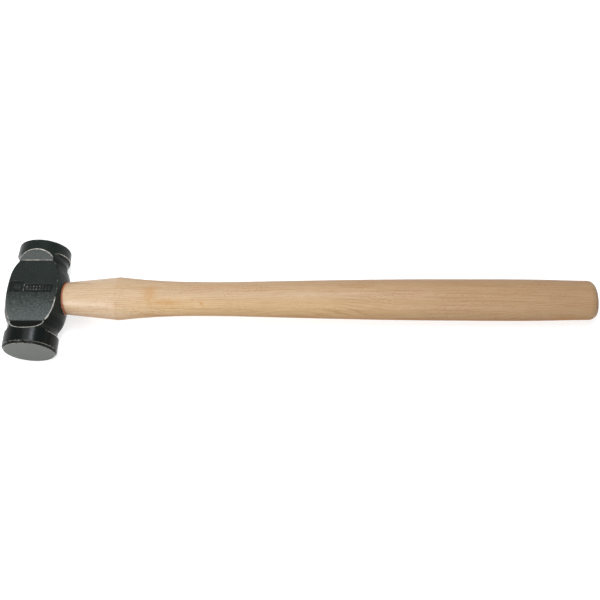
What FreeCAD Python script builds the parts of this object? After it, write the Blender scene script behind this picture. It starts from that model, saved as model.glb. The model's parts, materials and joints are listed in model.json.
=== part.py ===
import FreeCAD, Part
import math
import os

# Double-faced forging hammer with a swelled wooden handle, in millimetres.
#
# Each piece is drawn in the hammer's own frame. The origin is the middle of the eye, X runs
# along the handle towards the butt, Y runs along the head towards the crowned face, and Z
# points out of the front cheek. At the end every piece is laid down on its back cheek: the
# two poll rims and the butt touch the surface z = 0, and the box of the whole hammer is
# centred on the Z axis.

os.makedirs("parts", exist_ok=True)

V = FreeCAD.Vector
X_AXIS = V(1, 0, 0)
Y_AXIS = V(0, 1, 0)
Z_AXIS = V(0, 0, 1)

# ---- head: the forged blank
poll_radius = 21.0  # both round ends
flat_face_y = 46.9  # flat striking face, measured from the eye's middle
flat_bevel_width = 1.3  # taken off the flat face's radius
flat_bevel_length = 1.7  # along the head
rim_round = 0.3  # small corner between the bevel and the poll's side
crown_face_y = 46.9  # top of the crowned face
crown_rise = 3.4  # how far the crowned face stands out of its corner
crown_taper = 0.4  # the crowned poll loses this much radius towards its face
crown_corner = 0.65  # corner between the crowned face and the poll's side
barrel_swell = 4.9  # how far the blank's middle stands out of the polls
barrel_half_length = 26.5  # from the eye's middle to where the blank is down to the polls

# ---- head: cheeks, the two flats in front and behind
cheek_half_thickness = 15.7
cheek_half_length = 26.2
poll_inner_y = 34.1  # where a poll has its full round section
cheek_step_hollow = 0.8  # of the curved step from cheek to poll

# ---- head: sides, which the eye goes through
side_half_width = 24.2
side_round_radius = 31.0  # front to back
side_shoulder_y = 13.5  # the side is nearly straight to here
side_shoulder_drop = 0.8
side_slope_swell = 0.9  # how far the slope from shoulder to neck bows out
neck_y = 26.0  # bottom of the groove between side and poll
neck_half_width = 18.9
neck_corner_radius = 2.6  # where the groove turns out to the poll's rim

# ---- head: shallow panels sunk in the front cheek
panel_depth = 0.45
badge_width = 11.0
badge_height = 9.4
badge_center_x = -12.8
strip_width = 22.4
strip_height = 6.6
strip_center_x = 4.6
panel_center_y = 3.3
panel_corner_radius = 0.9
badge_boss_radius = 2.7
bar_width = 1.5
bar_height = 4.0
bar_count = 8
bar_corner_radius = 0.5

# ---- eye: an oval hole, widest at its two mouths
eye_mouth_width = 27.2  # along the head
eye_mouth_thickness = 22.0
eye_waist_width = 25.0
eye_waist_thickness = 19.8
eye_fit = 0.06  # between the eye's wall and the wood, all round

# ---- handle, measured from the eye's middle
swell_x = 66.5
swell_width = 36.0
swell_thickness = 28.6
waist_x = 131.0
waist_width = 28.5
waist_thickness = 22.6
rise_x = 149.0
rise_fullness = 1.2  # 1 rises most steeply at once, 2 gathers slowly
grip_x = 335.0
grip_width = 34.3
grip_thickness = 27.0
grip_end_x = 388.0
butt_x = 446.0
butt_width = 32.2
butt_thickness = 25.4
butt_round = 6.4
tenon_inset = 2.2  # from the widest part of the far side: it ends level with the eye's mouth

# ---- kerf and wooden wedge, along the head
wedge_depth = 30.0
wedge_thick_end = 4.2
wedge_thin_end = 1.2
wedge_fit = 0.05  # each side
kerf_spare_depth = 2.5  # beyond the wedge's thin end

# ---- two steel wedges, driven across the wooden one
steel_wedge_spacing = 12.5
steel_wedge_width = 15.0
steel_wedge_length = 19.0
steel_wedge_thick_end = 2.8
steel_wedge_thin_end = 0.9
barb_count = 3
barb_depth = 0.25
steel_wedge_fit = 0.05  # each side

HEAD_REACH = 60.0  # larger than any half size of the head


def polygon_face(points):
    return Part.Face(Part.makePolygon(points + [points[0]]))


def arc(start, middle, end):
    return Part.Arc(start, middle, end).toShape()


def line(start, end):
    return Part.LineSegment(start, end).toShape()


def path(points):
    """Straight edges from each point to the next."""
    return [line(start, end) for start, end in zip(points, points[1:])]


def blank():
    """The turned blank: two round polls on a barrel-shaped middle."""
    bevel_y = flat_face_y - flat_bevel_length
    bevel_radius = poll_radius - rim_round
    corner_y = crown_face_y - crown_rise
    corner_radius = poll_radius - crown_taper - crown_corner
    sphere = (corner_radius ** 2 + crown_rise ** 2) / (2 * crown_rise)
    sag = sphere - math.sqrt(sphere ** 2 - (corner_radius / 2) ** 2)
    flat_side = path(
        [
            V(0, -flat_face_y, 0),
            V(bevel_radius - flat_bevel_width, -flat_face_y, 0),
            V(bevel_radius, -bevel_y, 0),
            V(poll_radius, -bevel_y + rim_round, 0),
            V(poll_radius, -barrel_half_length, 0),
        ]
    )
    middle = arc(
        V(poll_radius, -barrel_half_length, 0),
        V(poll_radius + barrel_swell, 0, 0),
        V(poll_radius, barrel_half_length, 0),
    )
    crown_side = path(
        [
            V(poll_radius, barrel_half_length, 0),
            V(poll_radius, poll_inner_y, 0),
            V(poll_radius - crown_taper, corner_y - crown_corner, 0),
            V(corner_radius, corner_y, 0),
        ]
    )
    crown = arc(
        V(corner_radius, corner_y, 0),
        V(corner_radius / 2, crown_face_y - sag, 0),
        V(0, crown_face_y, 0),
    )
    centre_line = line(V(0, crown_face_y, 0), V(0, -flat_face_y, 0))
    outline = Part.Wire(flat_side + [middle] + crown_side + [crown, centre_line])
    return Part.Face(outline).revolve(V(0, 0, 0), Y_AXIS, 360)


def cheek_limits():
    """Everything between the two cheeks: flat in the middle, stepped up to full round polls."""
    step_y = poll_inner_y - cheek_half_length
    step_z = poll_radius - cheek_half_thickness
    step_length = math.hypot(step_y, step_z)
    hollow_y = (cheek_half_length + poll_inner_y) / 2 + cheek_step_hollow * step_z / step_length
    hollow_z = (cheek_half_thickness + poll_radius) / 2 - cheek_step_hollow * step_y / step_length
    profile = path(
        [
            V(0, -cheek_half_length, cheek_half_thickness),
            V(0, cheek_half_length, cheek_half_thickness),
        ]
    )
    for sign in (-1, 1):
        rim = V(0, sign * poll_inner_y, poll_radius)
        step_start = V(0, sign * cheek_half_length, cheek_half_thickness)
        profile.append(arc(step_start, V(0, sign * hollow_y, hollow_z), rim))
        profile += path(
            [
                rim,
                V(0, sign * poll_inner_y, HEAD_REACH),
                V(0, sign * HEAD_REACH, HEAD_REACH),
                V(0, sign * HEAD_REACH, 0),
            ]
        )
    profile += path([V(0, -HEAD_REACH, 0), V(0, HEAD_REACH, 0)])
    wire = Part.Wire(Part.__sortEdges__(profile))
    half = Part.Face(wire).extrude(X_AXIS * (2 * HEAD_REACH))
    half.translate(X_AXIS * -HEAD_REACH)
    return half.fuse(half.mirror(V(0, 0, 0), Z_AXIS)).removeSplitter()


def side_limit():
    """Everything inside the side at +X: a side rounded front to back, with a neck groove at each
    end of it. It turns about an axis parallel to the head, so the groove follows the rounding."""
    centre_x = side_half_width - side_round_radius
    shoulder_x = side_half_width - side_shoulder_drop
    bow = neck_corner_radius * (1 - math.sqrt(0.5))
    profile = [
        arc(
            V(shoulder_x, -side_shoulder_y, 0),
            V(side_half_width, 0, 0),
            V(shoulder_x, side_shoulder_y, 0),
        )
    ]
    for sign in (-1, 1):
        shoulder = V(shoulder_x, sign * side_shoulder_y, 0)
        neck = V(neck_half_width, sign * neck_y, 0)
        along = neck - shoulder
        outward = V(-sign * along.y, sign * along.x, 0).normalize() * -side_slope_swell
        slope_mid = (shoulder + neck) * 0.5 + outward
        turn = V(neck_half_width, sign * (poll_inner_y - neck_corner_radius), 0)
        turn_mid = V(neck_half_width + bow, sign * (poll_inner_y - bow), 0)
        rim = V(neck_half_width + neck_corner_radius, sign * poll_inner_y, 0)
        profile.append(arc(shoulder, slope_mid, neck))
        profile.append(line(neck, turn))
        profile.append(arc(turn, turn_mid, rim))
        profile += path(
            [
                rim,
                V(HEAD_REACH, sign * poll_inner_y, 0),
                V(HEAD_REACH, sign * HEAD_REACH, 0),
                V(centre_x, sign * HEAD_REACH, 0),
            ]
        )
    profile += path([V(centre_x, -HEAD_REACH, 0), V(centre_x, HEAD_REACH, 0)])
    wire = Part.Wire(Part.__sortEdges__(profile))
    turned = Part.Face(wire).revolve(V(centre_x, 0, 0), Y_AXIS, 360)
    behind = Part.makeBox(HEAD_REACH, 2 * HEAD_REACH, 2 * HEAD_REACH)
    behind.translate(V(centre_x - HEAD_REACH, -HEAD_REACH, -HEAD_REACH))
    return turned.fuse(behind)


def oval(x, width, thickness):
    """An oval wire across the handle: its long way is along the head."""
    long_way = V(x, width / 2, 0)
    short_way = V(x, 0, thickness / 2)
    return Part.Wire(Part.Ellipse(long_way, short_way, V(x, 0, 0)).toShape())


def eye_oval(x, shrink=0.0):
    """The eye's section at x, taken in by shrink all round."""
    share = abs(x) / side_half_width
    width = eye_waist_width + (eye_mouth_width - eye_waist_width) * share
    thickness = eye_waist_thickness + (eye_mouth_thickness - eye_waist_thickness) * share
    return oval(x, width - 2 * shrink, thickness - 2 * shrink)


def eye_plug(start_x, end_x, shrink=0.0):
    """What fills the eye from start_x to end_x, pinched at the middle."""
    near = Part.makeLoft([eye_oval(start_x, shrink), eye_oval(0, shrink)], True, True)
    far = Part.makeLoft([eye_oval(0, shrink), eye_oval(end_x, shrink)], True, True)
    return near.fuse(far)


def rounded_slab(center_x, center_y, width, height, radius, thickness):
    """A flat block with rounded corners that stands on the plane z = 0."""
    block = Part.makeBox(width, height, thickness)
    block.translate(V(center_x - width / 2, center_y - height / 2, 0))
    upright = [e for e in block.Edges if abs(e.tangentAt(e.FirstParameter).z) > 0.99]
    return block.makeFillet(radius, upright)


def sunk_panels():
    """The cutter for two shallow panels: one with a round boss, one with a row of plain bars."""
    height = 2 * panel_depth
    badge = rounded_slab(
        badge_center_x, panel_center_y, badge_width, badge_height, panel_corner_radius, height
    )
    boss = Part.makeCylinder(badge_boss_radius, height, V(badge_center_x, panel_center_y, 0))
    strip_y = panel_center_y - (badge_height - strip_height) / 2
    strip = rounded_slab(
        strip_center_x, strip_y, strip_width, strip_height, panel_corner_radius, height
    )
    pitch = strip_width / (bar_count + 1)
    bars = []
    for number in range(1, bar_count + 1):
        x = strip_center_x - strip_width / 2 + number * pitch
        bars.append(rounded_slab(x, strip_y, bar_width, bar_height, bar_corner_radius, height))
    cutter = badge.cut(boss).fuse(strip.cut(bars))
    cutter.translate(V(0, 0, cheek_half_thickness - panel_depth))
    return cutter


def head():
    side = side_limit()
    body = blank().common(cheek_limits()).common(side)
    body = body.common(side.mirror(V(0, 0, 0), X_AXIS))
    body = body.cut(eye_plug(-HEAD_REACH, HEAD_REACH))
    return body.cut(sunk_panels())


def between(start, end, share):
    return start + (end - start) * share


def handle_sections():
    """Width and thickness along the handle behind the swell: a hollow fall to the waist, a long
    rise to the grip, and a slight narrowing to the butt."""
    sections = []
    fall_steps = 6
    for step in range(fall_steps + 1):
        t = step / fall_steps
        share = 1 - (1 - t) ** 2
        sections.append(
            (
                between(swell_x, waist_x, t),
                between(swell_width, waist_width, share),
                between(swell_thickness, waist_thickness, share),
            )
        )
    rise_steps = 9
    for step in range(rise_steps + 1):
        t = step / rise_steps
        share = math.sin(t * math.pi / 2) ** rise_fullness
        sections.append(
            (
                between(rise_x, grip_x, t),
                between(waist_width, grip_width, share),
                between(waist_thickness, grip_thickness, share),
            )
        )
    end_steps = 4
    for step in range(end_steps + 1):
        t = step / end_steps
        share = t * t * (3 - 2 * t)
        sections.append(
            (
                between(grip_end_x, butt_x, t),
                between(grip_width, butt_width, share),
                between(grip_thickness, butt_thickness, share),
            )
        )
    return sections


def wedge(length, thick_end, thin_end, reach):
    """A wedge with its thick end at x = 0 and its thin end at x = length. It tapers in Z and
    runs from -reach to +reach in Y."""
    half_thick = thick_end / 2
    half_thin = thin_end / 2
    outline = polygon_face(
        [
            V(0, -reach, -half_thick),
            V(length, -reach, -half_thin),
            V(length, -reach, half_thin),
            V(0, -reach, half_thick),
        ]
    )
    return outline.extrude(V(0, 2 * reach, 0))


def tenon_end_x():
    return tenon_inset - side_half_width


def tenon():
    return eye_plug(tenon_end_x(), side_half_width, eye_fit)


def wood_wedge_body():
    body = wedge(wedge_depth, wedge_thick_end, wedge_thin_end, HEAD_REACH)
    body.translate(V(tenon_end_x(), 0, 0))
    return body


def kerf():
    """The saw cut, opened by the wooden wedge."""
    slot = wedge(
        wedge_depth, wedge_thick_end + 2 * wedge_fit, wedge_thin_end + 2 * wedge_fit, HEAD_REACH
    )
    bottom = Part.makeBox(
        wedge_depth + kerf_spare_depth, 2 * HEAD_REACH, wedge_thin_end + 2 * wedge_fit
    )
    bottom.translate(V(0, -HEAD_REACH, -wedge_thin_end / 2 - wedge_fit))
    slot = slot.fuse(bottom)
    slot.translate(V(tenon_end_x(), 0, 0))
    return slot


def steel_wedge(fit=0.0):
    """A plain tapered steel wedge on edge, its thick end at x = 0, with fit added all round."""
    body = wedge(
        steel_wedge_length + fit,
        steel_wedge_thick_end + 2 * fit,
        steel_wedge_thin_end + 2 * fit,
        steel_wedge_width / 2 + fit,
    )
    body.rotate(V(0, 0, 0), X_AXIS, 90)
    return body


def barbs():
    """Saw-tooth cuts across both faces of a steel wedge, which keep it from backing out."""
    pitch = steel_wedge_length / (barb_count + 2)
    slope = (steel_wedge_thick_end - steel_wedge_thin_end) / 2 / steel_wedge_length
    cuts = []
    for sign in (-1, 1):
        for number in range(1, barb_count + 1):
            start = number * pitch
            surface = steel_wedge_thick_end / 2 - slope * start
            far_surface = steel_wedge_thick_end / 2 - slope * (start + pitch)
            tooth = polygon_face(
                [
                    V(start, sign * (surface + barb_depth), -steel_wedge_width),
                    V(start, sign * (surface - barb_depth), -steel_wedge_width),
                    V(start + pitch, sign * far_surface, -steel_wedge_width),
                    V(start + pitch, sign * (far_surface + barb_depth), -steel_wedge_width),
                ]
            )
            cuts.append(tooth.extrude(V(0, 0, 2 * steel_wedge_width)))
    return cuts


def pair(shape):
    """Two copies at the steel wedges' places in the tenon's end."""
    copies = []
    for sign in (-1, 1):
        copy = shape.copy()
        copy.translate(V(tenon_end_x(), sign * steel_wedge_spacing / 2, 0))
        copies.append(copy)
    return copies


def steel_wedges():
    return Part.makeCompound(pair(steel_wedge().cut(barbs())))


def wood_wedge():
    return wood_wedge_body().common(tenon()).cut(pair(steel_wedge(steel_wedge_fit)))


def handle():
    neck = Part.makeLoft(
        [eye_oval(side_half_width, eye_fit), oval(swell_x, swell_width, swell_thickness)],
        True,
        True,
    )
    ovals = [oval(x, width, thickness) for x, width, thickness in handle_sections()]
    grip = Part.makeLoft(ovals, True, False)
    end = [e for e in grip.Edges if e.BoundBox.XMin > butt_x - 0.01]
    grip = grip.makeFillet(butt_round, end)
    body = tenon().fuse(neck).fuse(grip)
    return body.cut(kerf()).cut(pair(steel_wedge(steel_wedge_fit)))


def lie_down(shapes):
    """Turns the hammer until polls and butt touch one level surface, and centres its box."""
    rest_x = butt_x - butt_round
    rest_z = butt_thickness / 2
    reach = math.hypot(rest_x, rest_z)
    tilt = math.asin(poll_radius / reach) - math.atan2(rest_z, rest_x)
    for shape in shapes:
        shape.rotate(V(0, 0, 0), Y_AXIS, math.degrees(tilt))
    box = FreeCAD.BoundBox()
    for shape in shapes:
        box.add(shape.optimalBoundingBox(False))
    for shape in shapes:
        shape.translate(V(-box.Center.x, -box.Center.y, -box.ZMin))
    print("tilt", round(math.degrees(tilt), 5), box.Center.x, box.Center.y, box.ZMin)


pieces = {
    "head": head(),
    "handle": handle(),
    "wood_wedge": wood_wedge(),
    "steel_wedges": steel_wedges(),
}
lie_down(list(pieces.values()))
for name, shape in pieces.items():
    print(name, shape.isValid(), len(shape.Solids), round(shape.Volume, 1))
    shape.exportStep("parts/" + name + ".step")
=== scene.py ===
import json
import math

import bmesh
import bpy
import numpy as np
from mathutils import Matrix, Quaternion, Vector


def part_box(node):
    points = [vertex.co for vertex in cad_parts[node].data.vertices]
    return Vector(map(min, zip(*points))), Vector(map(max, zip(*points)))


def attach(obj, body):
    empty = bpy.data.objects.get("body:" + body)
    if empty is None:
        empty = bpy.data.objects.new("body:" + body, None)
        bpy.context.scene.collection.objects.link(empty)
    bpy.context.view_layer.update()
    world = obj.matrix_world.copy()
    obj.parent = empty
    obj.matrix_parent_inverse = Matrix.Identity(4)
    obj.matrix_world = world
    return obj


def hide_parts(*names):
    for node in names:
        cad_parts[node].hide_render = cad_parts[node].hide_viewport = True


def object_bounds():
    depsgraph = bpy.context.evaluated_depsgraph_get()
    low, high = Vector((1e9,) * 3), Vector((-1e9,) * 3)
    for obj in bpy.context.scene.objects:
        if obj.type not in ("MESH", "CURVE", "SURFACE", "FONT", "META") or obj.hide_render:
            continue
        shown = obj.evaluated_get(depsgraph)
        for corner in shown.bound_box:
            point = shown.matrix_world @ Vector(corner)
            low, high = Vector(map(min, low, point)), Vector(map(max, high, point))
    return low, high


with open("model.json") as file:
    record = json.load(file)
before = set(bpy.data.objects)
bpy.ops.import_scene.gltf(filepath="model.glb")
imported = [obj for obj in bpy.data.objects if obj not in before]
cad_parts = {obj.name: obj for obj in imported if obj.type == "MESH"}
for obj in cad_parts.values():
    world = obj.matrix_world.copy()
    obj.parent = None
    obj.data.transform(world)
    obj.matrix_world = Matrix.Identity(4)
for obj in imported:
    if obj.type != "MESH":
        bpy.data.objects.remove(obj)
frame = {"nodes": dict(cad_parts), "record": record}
cad_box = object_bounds()

MM = 0.001

mounts = {mount["name"]: mount for mount in frame["record"]["mounts"]}
handle_axis = Vector(mounts["grip"]["axis"]).normalized()
head_axis = Vector((0.0, 1.0, 0.0))
front_axis = handle_axis.cross(head_axis)
eye_center = Vector(mounts["flat_striking_face"]["pos_m"])
eye_center.y = 0.0

# Sizes of the hammer, in mm from the middle of the eye.
head_low, head_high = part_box("head")
face_end = (head_high.y - head_low.y) / 2 / MM  # along the head, to both striking faces
butt_end = (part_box("handle")[1].x - eye_center.x) / MM  # along the handle
side_width = 24.2  # along the handle, to the rounded side at the eye's mouth
side_round = 31.0  # radius of that side
cheek_end = 26.5  # along the head, where the cheeks stop and the steps begin
cheek_level = 16.0  # just above the cheeks
step_end = 34.6  # along the head, where the steps have run out into the polls
panel_middle, panel_reach = 3.3, 6.0  # of the shallow panels, along the head
ridge = 66.5  # along the handle, where the cone ends in the swell's ridge


# ---------------------------------------------------------------- finishes


class Wire:
    """One output in a finish; arithmetic on it adds the Math nodes."""

    def __init__(self, finish, socket):
        self.finish = finish
        self.socket = socket

    def __add__(self, other):
        return self.finish.math("ADD", self, other)

    def __radd__(self, other):
        return self.finish.math("ADD", other, self)

    def __sub__(self, other):
        return self.finish.math("SUBTRACT", self, other)

    def __rsub__(self, other):
        return self.finish.math("SUBTRACT", other, self)

    def __mul__(self, other):
        return self.finish.math("MULTIPLY", self, other)

    def __rmul__(self, other):
        return self.finish.math("MULTIPLY", other, self)

    def __truediv__(self, other):
        return self.finish.math("DIVIDE", self, other)

    def __pow__(self, other):
        return self.finish.math("POWER", self, other)


class Finish:
    """A material for one kind of surface, mixed from procedural nodes."""

    def __init__(self, name):
        self.material = bpy.data.materials.new(name)
        self.material.use_nodes = True
        self.tree = self.material.node_tree
        self.tree.nodes.clear()

    def node(self, kind, settings, inputs, output=0):
        made = self.tree.nodes.new(kind)
        for name, value in settings.items():
            if name == "stops":
                self.set_stops(made.color_ramp, value)
            else:
                setattr(made, name, value)
        for name, value in inputs.items():
            if isinstance(value, Wire):
                self.tree.links.new(value.socket, made.inputs[name])
            else:
                made.inputs[name].default_value = value
        if made.outputs:
            return Wire(self, made.outputs[output])

    def set_stops(self, ramp, stops):
        while len(ramp.elements) < len(stops):
            ramp.elements.new(1.0)
        for element, (position, value) in zip(ramp.elements, stops):
            element.position = position
            element.color = (value, value, value, 1.0)

    def math(self, operation, first, second=0.0):
        return self.node("ShaderNodeMath", {"operation": operation}, {0: first, 1: second})

    def band(self, value, low, high, smooth=True):
        """0 below low, 1 above high."""
        settings = {"interpolation_type": "SMOOTHSTEP" if smooth else "LINEAR"}
        inputs = {"Value": value, "From Min": low, "From Max": high}
        return self.node("ShaderNodeMapRange", settings, inputs)

    def ramp(self, value, stops):
        return self.node("ShaderNodeValToRGB", {"stops": stops}, {0: value})

    def mix(self, share, first, second, blend="MIX"):
        settings = {"data_type": "RGBA", "blend_type": blend}
        return self.node("ShaderNodeMix", settings, {0: share, 6: first, 7: second}, 2)

    def vector(self, operation, first, second, output=0):
        settings = {"operation": operation}
        return self.node("ShaderNodeVectorMath", settings, {0: first, 1: second}, output)

    def length(self, value):
        return self.vector("LENGTH", value, (0.0, 0.0, 0.0), 1)

    def held(self, name):
        """A value that the piece's mesh holds at its vertices."""
        return self.node("ShaderNodeAttribute", {"attribute_name": name}, {}, "Fac")

    def place(self):
        """Where a point is, in mm from the middle of the eye, whole and as its three parts:
        along the handle, along the head, and out of the front cheek."""
        here = self.node("ShaderNodeTexCoord", {}, {}, "Object")
        here = self.vector("SUBTRACT", here, tuple(eye_center))
        parts = []
        for axis in (handle_axis, head_axis, front_axis):
            parts.append(self.vector("DOT_PRODUCT", here, tuple(axis / MM), 1))
        whole = self.node("ShaderNodeCombineXYZ", {}, {0: parts[0], 1: parts[1], 2: parts[2]})
        return whole, parts

    def facing(self, direction):
        """1 where the surface faces that way, -1 where it faces away."""
        normal = self.node("ShaderNodeNewGeometry", {}, {}, "Normal")
        return self.vector("DOT_PRODUCT", normal, tuple(direction.normalized()), 1)

    def grain(self, where, sizes, detail=2.0, rough=0.5, warp=0.0):
        """Soft noise whose spots are about that many mm along each axis, from 0 to 1."""
        stretched = self.vector("DIVIDE", where, sizes)
        inputs = {
            "Vector": stretched,
            "Scale": 1.0,
            "Detail": detail,
            "Roughness": rough,
            "Distortion": warp,
        }
        return self.node("ShaderNodeTexNoise", {}, inputs)

    def cells(self, where, sizes):
        """Distance to the nearest of many scattered points, in cells."""
        stretched = self.vector("DIVIDE", where, sizes)
        return self.node("ShaderNodeTexVoronoi", {}, {"Vector": stretched, "Scale": 1.0})

    def bump(self, height, depth):
        """A normal from a height of 0 to 1 that stands for that many mm."""
        inputs = {"Height": height, "Distance": depth * MM, "Strength": 1.0}
        return self.node("ShaderNodeBump", {}, inputs)

    def surface(self, inputs):
        shader = self.node("ShaderNodeBsdfPrincipled", {}, inputs)
        self.node("ShaderNodeOutputMaterial", {}, {"Surface": shader})
        return self.material


def tone(red, green, blue):
    """A linear colour from the 0 to 255 values of a paint card."""
    shares = []
    for value in (red, green, blue):
        share = value / 255
        shares.append(share / 12.92 if share <= 0.04045 else ((share + 0.055) / 1.055) ** 2.4)
    return (*shares, 1.0)


def forged_steel_finish():
    """Black forging scale, rubbed bright at the edges with a painted glint there, with ground
    striking faces; painted sheen on the lower cheeks and the upper step, painted shade on the
    lower step, the flat face's poll and the neck.
    """
    steel = Finish("forged_steel")
    where, (_, across, _) = steel.place()
    ground = steel.held("ground")
    cheek = steel.held("cheek")
    step = steel.held("step")
    neck = steel.held("neck")
    rough_skin = steel.math("MAXIMUM", cheek, step)

    peel = steel.grain(where, (1.2, 0.8, 0.9), 2.5, 0.6)
    swell = steel.grain(where, (2.4, 1.6, 2.0), 2.0, 0.5)
    cloud = steel.grain(where, (14.0, 14.0, 14.0), 3.0, 0.55)
    fleck = steel.grain(where, (2.0, 2.0, 2.0), 3.0, 0.6)

    scale = steel.mix(cloud, tone(25, 30, 27), tone(34, 39, 36))
    # Painted sheen: the cheeks are made lighter towards their lower ends, with light specks
    # strewn over them.
    lower_cheek = steel.band(across, 14.0, -30.0, False)
    brightening = steel.band(lower_cheek + (peel - 0.5) * 0.8, 0.2, 1.0)
    specks = steel.band(peel, 0.46, 0.7)
    cheek_sheen_and_specks = cheek * (brightening * 0.6 + specks * (0.08 + brightening * 0.18))
    scale = steel.mix(cheek_sheen_and_specks, scale, tone(89, 94, 92))
    # Painted light: the step on the crowned face's side is made lighter.
    crowned_step = step * steel.band(across, 0.0, 1.0)
    scale = steel.mix(crowned_step * (0.2 + peel * 0.5), scale, tone(98, 101, 100))

    # Painted shade: the flat face's poll, the lower step and the neck are made near black; the
    # panel floors and the creases are made darker.
    flat_poll = 1 - steel.band(across, -34.0, -30.0)
    flat_step = step * (1 - steel.band(across, -1.0, 1.0))
    shade_black = tone(8, 11, 10)
    for share, black in (
        (flat_poll * 0.65, shade_black),
        (flat_step * 0.8, tone(8, 10, 9)),
        (steel.held("sunk") * 0.55, tone(14, 17, 16)),
        (neck * 0.8, shade_black),
        (steel.held("hollow") * 0.8, tone(10, 12, 11)),
    ):
        scale = steel.mix(share, scale, black)

    scratches = steel.grain(where, (0.25, 3.0, 14.0), 3.0, 0.65)
    smudge = steel.grain(where, (11.0, 11.0, 11.0), 3.0, 0.5)
    dull_face, bright_face = tone(84, 87, 84), tone(104, 106, 103)
    face_color = steel.mix(scratches * 0.6 + smudge * 0.4, dull_face, bright_face)

    # The rubbed edges are worn bare steel with a painted glint along them; the foot of the upper
    # step gets a painted highlight line.
    step_edge = steel.held("step_foot") * steel.band(across, 0.0, 1.0) * 0.75
    edges = steel.math("MAXIMUM", steel.held("wear"), step_edge)
    rubbed_and_glinting = steel.band(edges + (fleck - 0.5) * 0.9, 0.35, 0.85)
    color = steel.mix(rubbed_and_glinting * 0.92, scale, tone(174, 169, 162))
    color = steel.mix(ground, color, face_color)

    metal = ground * 0.9 + (1 - ground) * rubbed_and_glinting * 0.6
    scale_rough = 0.24 + rough_skin * 0.2 + flat_step * 0.3 + neck * 0.3
    scale_rough = scale_rough + (cloud - 0.5) * 0.12 + (fleck - 0.5) * 0.08
    face_rough = 0.42 + smudge * 0.12 + scratches * 0.06
    pitting = peel * (0.1 + rough_skin * 0.5) + swell * (0.15 + rough_skin * 0.85)
    relief = (1 - ground) * pitting + scratches * ground * 0.03
    return steel.surface(
        {
            "Base Color": color,
            "Metallic": metal,
            "Roughness": ground * face_rough + (1 - ground) * scale_rough,
            "Normal": steel.bump(relief, 0.22),
            "Specular IOR Level": 0.09,
        }
    )


# Marks in the wood's figure: middle, reach each way, and strength.
figure_marks = [
    ((93.0, -1.0, 12.0), (6.5, 7.5, 9.0), 0.55),
    ((106.0, -8.0, 11.0), (16.0, 3.4, 9.0), 0.42),
    ((127.2, -5.7, 11.0), (1.7, 1.2, 6.0), 0.6),
    ((134.5, -8.3, 10.0), (1.7, 1.2, 6.0), 0.7),
    ((104.0, 13.0, 5.0), (5.0, 1.6, 5.0), 0.5),
    ((137.0, 13.0, 3.0), (9.0, 1.7, 4.0), 0.6),
    ((421.0, -15.0, -2.0), (14.0, 3.0, 7.0), 1.0),
]


def growth_rings(wood, where, along, across, out):
    """The dark late wood of each year, around a pith that lies outside the handle."""
    pith_across, pith_out = 46.0, 30.0
    ring_width = 2.1
    lean = 0.012  # the rings run slightly out of the handle
    sway = wood.grain(where, (150.0, 34.0, 34.0), 1.5, 0.5) - 0.5
    ripple = wood.grain(where, (20.0, 4.0, 4.0), 2.5, 0.55) - 0.5
    from_pith = wood.math("SQRT", (across - pith_across) ** 2 + (out - pith_out) ** 2)
    rings = (from_pith + sway * 24.0 + ripple * 2.2 + along * lean) / ring_width
    year = [(0.0, 0.0), (0.5, 0.12), (0.86, 1.0), (1.0, 0.0)]
    late = wood.ramp(wood.math("FRACT", rings), year)
    return late * wood.band(wood.grain(where, (40.0, 6.0, 6.0), 2.0), 0.25, 0.75)


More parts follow.
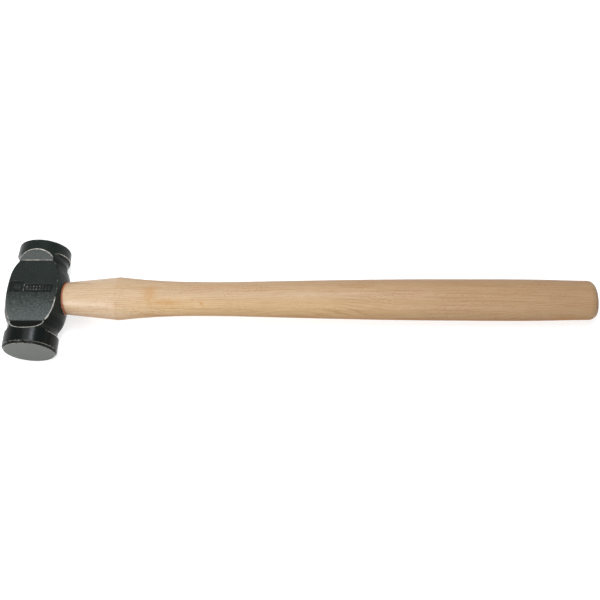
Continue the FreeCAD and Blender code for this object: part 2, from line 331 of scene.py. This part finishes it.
def beech_finish():
    """Lacquered beech, glossier on the cone with a painted pale highlight there, darker towards
    the butt partly in its own tone and partly by painted light falloff, with painted shade along
    its edges, a painted light band low on its middle and a painted shadow at the eye's mouth.
    """
    wood = Finish("beech")
    where, (along, across, out) = wood.place()
    late = growth_rings(wood, where, along, across, out)
    fibre = wood.grain(where, (9.0, 0.45, 0.45), 3.0, 0.65)
    streak = wood.grain(where, (50.0, 1.8, 1.8), 2.0, 0.55)
    rays = 1 - wood.band(wood.cells(where, (3.0, 0.85, 0.85)), 0.14, 0.32)
    patchy = wood.band(wood.grain(where, (34.0, 8.0, 8.0), 1.0), 0.42, 0.6)

    # Darker towards the butt: partly the beech's own tone, partly painted light falloff.
    drift = wood.band(along, 30.0, 0.75 * butt_end, False)
    pale = wood.mix(drift, tone(190, 165, 134), tone(175, 144, 109))
    deep = wood.mix(drift, tone(160, 125, 87), tone(145, 110, 74))
    rings_show = late * (0.75 - drift * 0.2)
    color = wood.mix(rings_show + wood.band(streak, 0.4, 0.75) * 0.3, pale, deep)
    color = wood.mix(wood.band(fibre, 0.42, 0.75) * 0.45, color, deep)
    color = wood.mix(rays * patchy * 0.75, color, tone(150, 100, 60))

    curl = wood.grain(where, (3.2, 0.7, 0.9), 4.0, 0.75, 1.2)
    for middle, reach, share in figure_marks:
        offset = wood.vector("SUBTRACT", where, middle)
        near = wood.length(wood.vector("DIVIDE", offset, reach)) + (curl - 0.5) * 4.5
        color = wood.mix((1 - wood.band(near, 0.4, 1.0)) * share, color, tone(172, 126, 70))

    cone = 1 - wood.band(along, ridge - 3.0, ridge)
    # Painted light: a lighter, yellower band along the lower half of the handle's middle, from
    # the swell's ridge towards the butt.
    lit_band = wood.band(along, ridge - 0.5, 110.0) * (1 - wood.band(along, 230.0, 330.0))
    lit_band = lit_band * wood.band(-1 * across, 0.0, 12.0)
    lit_band_tint = tone(262, 256, 228)  # over 255 in red and green, so it lightens them
    color = wood.mix(lit_band * 0.5, color, lit_band_tint, "MULTIPLY")
    # Painted shade: darker along the edge that faces the near side and down, most on the cone
    # and towards the butt, and over the upper half, growing towards its edge and towards the
    # butt.
    turned = wood.facing(head_axis * 0.905 + front_axis * 0.42)
    shaded_lower_edge = wood.band(-1 * turned, 0.7, 1.0) * (0.33 + drift * 0.55 + cone * 0.45)
    shaded_upper_half = wood.band(turned, -0.1, 0.9, False) * 0.18
    shaded_upper_half = shaded_upper_half + wood.band(turned, 0.6, 1.0) * drift * 0.25
    color = wood.mix(shaded_lower_edge, color, tone(146, 98, 48))
    color = wood.mix(shaded_upper_half, color, tone(124, 92, 66))

    # Along the handle from the eye's mouth, whose side curves away to the front and back.
    from_mouth = along + out * out / (2 * side_round) - side_width
    # Painted shadow: a red-brown ring on the handle where it enters the eye's mouth.
    mouth_shade = wood.band(from_mouth, -2.5, -0.8) * (1 - wood.band(from_mouth, 0.4, 1.6))
    end_grain = wood.band(along, butt_end - 2.6, butt_end - 0.8)
    flat_end = wood.band(wood.facing(handle_axis), 0.92, 0.97)
    end_line = wood.band(along, butt_end - 2.6, butt_end - 1.5) * (1 - flat_end)
    color = wood.mix(mouth_shade * 0.9, color, tone(150, 70, 30))
    color = wood.mix(end_grain * 0.5, color, tone(140, 98, 62))
    color = wood.mix(end_line * 0.8, color, tone(112, 60, 38))
    # Painted highlight: the cone made a shade paler and pinker.
    color = wood.mix(cone * 0.05, color, tone(208, 194, 186))

    return wood.surface(
        {
            "Base Color": color,
            "Roughness": 0.46 + fibre * 0.12 - late * 0.05,
            "Normal": wood.bump(fibre * 0.6 + late * 0.25 - rays * patchy * 0.5, 0.06),
            "Specular IOR Level": 0.15,
            "Coat Weight": 0.06 + cone * 0.34,
            "Coat Roughness": 0.28,
        }
    )


def wedge_wood_finish():
    """Bare hardwood, cut across its rings."""
    wood = Finish("wedge_wood")
    where, (_, across, out) = wood.place()
    ring_width = 1.1
    fibre = wood.grain(where, (9.0, 0.4, 0.3), 3.0, 0.6)
    sway = (wood.grain(where, (30.0, 6.0, 6.0)) - 0.5) * 5.0
    rings = wood.math("FRACT", (out + across * 0.25 + sway) / ring_width)
    late = wood.ramp(rings, [(0.0, 0.0), (0.6, 0.3), (0.9, 1.0), (1.0, 0.0)])
    darker = late * 0.5 + fibre * 0.4
    return wood.surface(
        {
            "Base Color": wood.mix(darker, tone(206, 170, 128), tone(150, 108, 70)),
            "Roughness": 0.6 + fibre * 0.2,
            "Normal": wood.bump(fibre + late * 0.4, 0.08),
        }
    )


def wedge_steel_finish():
    """Drawn steel with the hammer's dents in its end."""
    steel = Finish("wedge_steel")
    where, _ = steel.place()
    drawn = steel.grain(where, (8.0, 0.25, 0.25), 3.0, 0.6)
    dents = steel.grain(where, (1.6, 1.6, 1.6), 2.0, 0.5)
    shade = drawn * 0.6 + dents * 0.3
    return steel.surface(
        {
            "Base Color": steel.mix(shade, tone(176, 176, 172), tone(112, 112, 110)),
            "Metallic": 0.95,
            "Roughness": 0.3 + drawn * 0.25,
            "Normal": steel.bump(dents * 0.8 + drawn * 0.3, 0.12),
        }
    )


# ---------------------------------------------------------------- head


def shaped(piece):
    """The piece's mesh with its modifiers worked in."""
    settled = bpy.context.evaluated_depsgraph_get()
    mesh = bpy.data.meshes.new_from_object(piece.evaluated_get(settled))
    piece.modifiers.clear()
    piece.data = mesh
    return mesh


def numbers(items, name, width, kind=np.float32):
    values = np.zeros(len(items) * width, kind)
    items.foreach_get(name, values)
    return values.reshape(-1, width)


def ease(value, low, high):
    share = np.clip((value - low) / (high - low), 0, 1)
    return share * share * (3 - 2 * share)


def neighbour_mean(values, edges):
    count = len(values)
    total = np.zeros_like(values)
    for column in range(values.shape[1]):
        sums = np.bincount(edges[:, 0], values[edges[:, 1], column], count)
        sums += np.bincount(edges[:, 1], values[edges[:, 0], column], count)
        total[:, column] = sums
    degree = np.bincount(edges.ravel(), minlength=count)
    return total / np.maximum(degree, 1)[:, None]


def bend_of(points, normals, edges):
    """How far each vertex stands out of its neighbours, in mm, eased over the next few."""
    bend = ((points - neighbour_mean(points, edges)) * normals).sum(1)[:, None] / MM
    for _ in range(2):
        bend = 0.5 * bend + 0.5 * neighbour_mean(bend, edges)
    return bend[:, 0]


def head_marks(mesh):
    """The places on the head that its finish treats apart, as values from 0 to 1."""
    points = numbers(mesh.vertices, "co", 3).astype(float)
    normals = numbers(mesh.vertex_normals, "vector", 3).astype(float)
    edges = numbers(mesh.edges, "vertices", 2, np.int32)
    axes = np.array([handle_axis, head_axis, front_axis])
    _, across, out = ((points - np.array(eye_center)) @ axes.T / MM).T
    facing_along, facing_across, facing_out = (normals @ axes.T).T
    from_eye = np.abs(across)
    bend = bend_of(points, normals, edges)

    ground = ease(np.abs(facing_across), 0.86, 0.9) * (from_eye > face_end - 4.5)
    cheek = ease(np.abs(facing_out), 0.9, 0.97) * (from_eye < cheek_end + 0.1)
    cheek = cheek * (np.abs(out) < cheek_level)
    step = ease(facing_out * np.sign(out), 0.4, 0.6) * ease(from_eye, cheek_end - 0.4, cheek_end)
    step = step * (from_eye < step_end) * ease(-facing_across * np.sign(across), 0.15, 0.25)
    step_foot = step * (1 - ease(from_eye, cheek_end + 0.3, cheek_end + 0.7))
    neck = ease(from_eye, 17.0, 22.0) * (1 - ease(from_eye, 27.0, 31.0))
    neck = neck * ease(facing_along, 0.3, 0.6)

    in_panels = (cheek > 0.01) * (np.abs(across - panel_middle) < panel_reach) * (out > 0)
    sunk = ease(out[cheek > 0.9].max() - out, 0.25, 0.5) * in_panels
    # The rubbed edges are made brighter low on the head and on the crowned side's step: worn
    # bare steel, and in part a painted glint where those edges catch the light.
    brightening = np.maximum(0.34 + 0.66 * ease(-across, 3.0, 12.0), ease(across, 27.0, 30.0))
    brightening = brightening * (1 - 0.3 * ease(from_eye, face_end - 3.4, face_end - 2.4))
    return {
        "wear": ease(bend, 0.01, 0.038) * np.where(in_panels > 0, 0.5, brightening),
        "hollow": ease(-bend, 0.0075, 0.035),
        "ground": ground,
        "cheek": cheek,
        "step": step,
        "step_foot": step_foot,
        "sunk": sunk,
        "neck": neck,
    }


def forged_head():
    """The CAD head with an even, fine skin and edges eased as forging leaves them."""
    cad_head = frame["nodes"]["head"]
    piece = bpy.data.objects.new("forged_head", cad_head.data.copy())
    bpy.context.scene.collection.objects.link(piece)

    remesh = piece.modifiers.new("even skin", "REMESH")
    remesh.mode = "VOXEL"
    remesh.voxel_size = 0.48 * MM
    wrap = piece.modifiers.new("true shape", "SHRINKWRAP")
    wrap.target = cad_head
    wrap.wrap_method = "NEAREST_SURFACEPOINT"
    soften = piece.modifiers.new("eased edges", "SMOOTH")
    soften.factor = 0.5
    soften.iterations = 3
    mesh = shaped(piece)

    for name, values in head_marks(mesh).items():
        held = mesh.attributes.new(name, "FLOAT", "POINT")
        held.data.foreach_set("value", values.astype(np.float32))
    mesh.polygons.foreach_set("use_smooth", np.ones(len(mesh.polygons), bool))
    mesh.materials.clear()
    mesh.materials.append(forged_steel_finish())
    mesh.update()
    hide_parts("head")
    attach(piece, "root")


def dress(node, material):
    for slot in frame["nodes"][node].material_slots:
        slot.material = material


forged_head()
dress("handle", beech_finish())
dress("wood_wedge", wedge_wood_finish())
dress("steel_wedges", wedge_steel_finish())


# ---------------------------------------------------------------- studio


def floor():
    """A pale paper floor that sweeps up into a low wall far behind the object."""
    flat_reach, sweep_radius, wall_height = 4.0, 1.0, 1.3
    sweep_steps = 12
    sides = 96
    level = cad_box[0].z - 0.1 * MM
    profile = [(flat_reach, 0.0)]
    for step in range(1, sweep_steps + 1):
        turn = step / sweep_steps * math.pi / 2
        reach = flat_reach + sweep_radius * math.sin(turn)
        profile.append((reach, sweep_radius * (1 - math.cos(turn))))
    profile.append((flat_reach + sweep_radius, wall_height))
    shape = bmesh.new()
    rings = []
    for reach, height in profile:
        ring = []
        for side in range(sides):
            turn = side / sides * math.tau
            spot = (reach * math.cos(turn), reach * math.sin(turn), level + height)
            ring.append(shape.verts.new(spot))
        rings.append(ring)
    shape.faces.new(rings[0])
    for inner, outer in zip(rings, rings[1:]):
        for side in range(sides):
            after = (side + 1) % sides
            corners = (inner[side], outer[side], outer[after], inner[after])
            shape.faces.new(corners).smooth = True
    mesh = bpy.data.meshes.new("studio_floor")
    shape.to_mesh(mesh)
    shape.free()
    piece = bpy.data.objects.new("studio_floor", mesh)
    bpy.context.scene.collection.objects.link(piece)
    mesh.materials.append(
        Finish("studio_paper").surface(
            {
                "Base Color": (0.45, 0.45, 0.45, 1.0),
                "Roughness": 0.9,
                "Emission Color": (1.0, 1.0, 1.0, 1.0),
                "Emission Strength": 0.74,
            }
        )
    )


def softbox(name, place, target, size, power, color=(1.0, 1.0, 1.0), fill=True):
    """A rectangular lamp; without fill it only shows in gloss."""
    lamp = bpy.data.lights.new(name, "AREA")
    lamp.shape = "RECTANGLE"
    lamp.size, lamp.size_y = size
    lamp.energy = power
    lamp.color = color
    piece = bpy.data.objects.new(name, lamp)
    piece.location = place
    piece.visible_diffuse = fill
    piece.rotation_mode = "QUATERNION"
    piece.rotation_quaternion = (Vector(target) - Vector(place)).to_track_quat("-Z", "Y")
    bpy.context.scene.collection.objects.link(piece)


def studio_light():
    world = bpy.data.worlds.new("studio")
    world.use_nodes = True
    room = world.node_tree.nodes["Background"]
    room.inputs["Color"].default_value = (1.0, 1.0, 1.0, 1.0)
    room.inputs["Strength"].default_value = 0.16
    bpy.context.scene.world = world
    cool, cooler = (0.95, 0.97, 1.0), (0.86, 0.93, 1.0)
    beside_head = eye_center + Vector((-0.345, -0.415, 0.50))
    over_handle = eye_center + Vector((0.217, 0.17, 0.616))
    softbox("key", beside_head, eye_center, size=(0.3, 0.3), power=3.4)
    softbox("strip", over_handle, eye_center, size=(0.1, 0.17), power=2.3, color=cooler)
    softbox("sheen", (0.05, -0.66, 0.6), (0.02, 0.0, 0.0), (0.5, 0.22), 4.5, cool, fill=False)
    softbox("overhead", (-0.08, 0.12, 1.1), (-0.05, 0.0, 0.0), size=(0.7, 0.7), power=7.5)


def camera():
    azimuth = math.radians(-6.358)
    elevation = math.radians(64.846)
    roll = math.radians(6.010)
    distance = 659.7 * MM
    aim = eye_center + Vector((211.0, 7.3, -21.04)) * MM
    level = math.cos(elevation)
    ahead = Vector((math.sin(azimuth) * level, math.cos(azimuth) * level, -math.sin(elevation)))
    lens = bpy.data.cameras.new("view")
    lens.sensor_width = 36.0
    lens.lens = 48.01
    lens.clip_start = 0.01
    lens.clip_end = 50.0
    piece = bpy.data.objects.new("view", lens)
    piece.location = aim - ahead * distance
    piece.rotation_mode = "QUATERNION"
    piece.rotation_quaternion = Quaternion(ahead, roll) @ ahead.to_track_quat("-Z", "Y")
    bpy.context.scene.collection.objects.link(piece)
    bpy.context.scene.camera = piece


floor()
studio_light()
camera()
bpy.context.scene.view_settings.view_transform = "Standard"
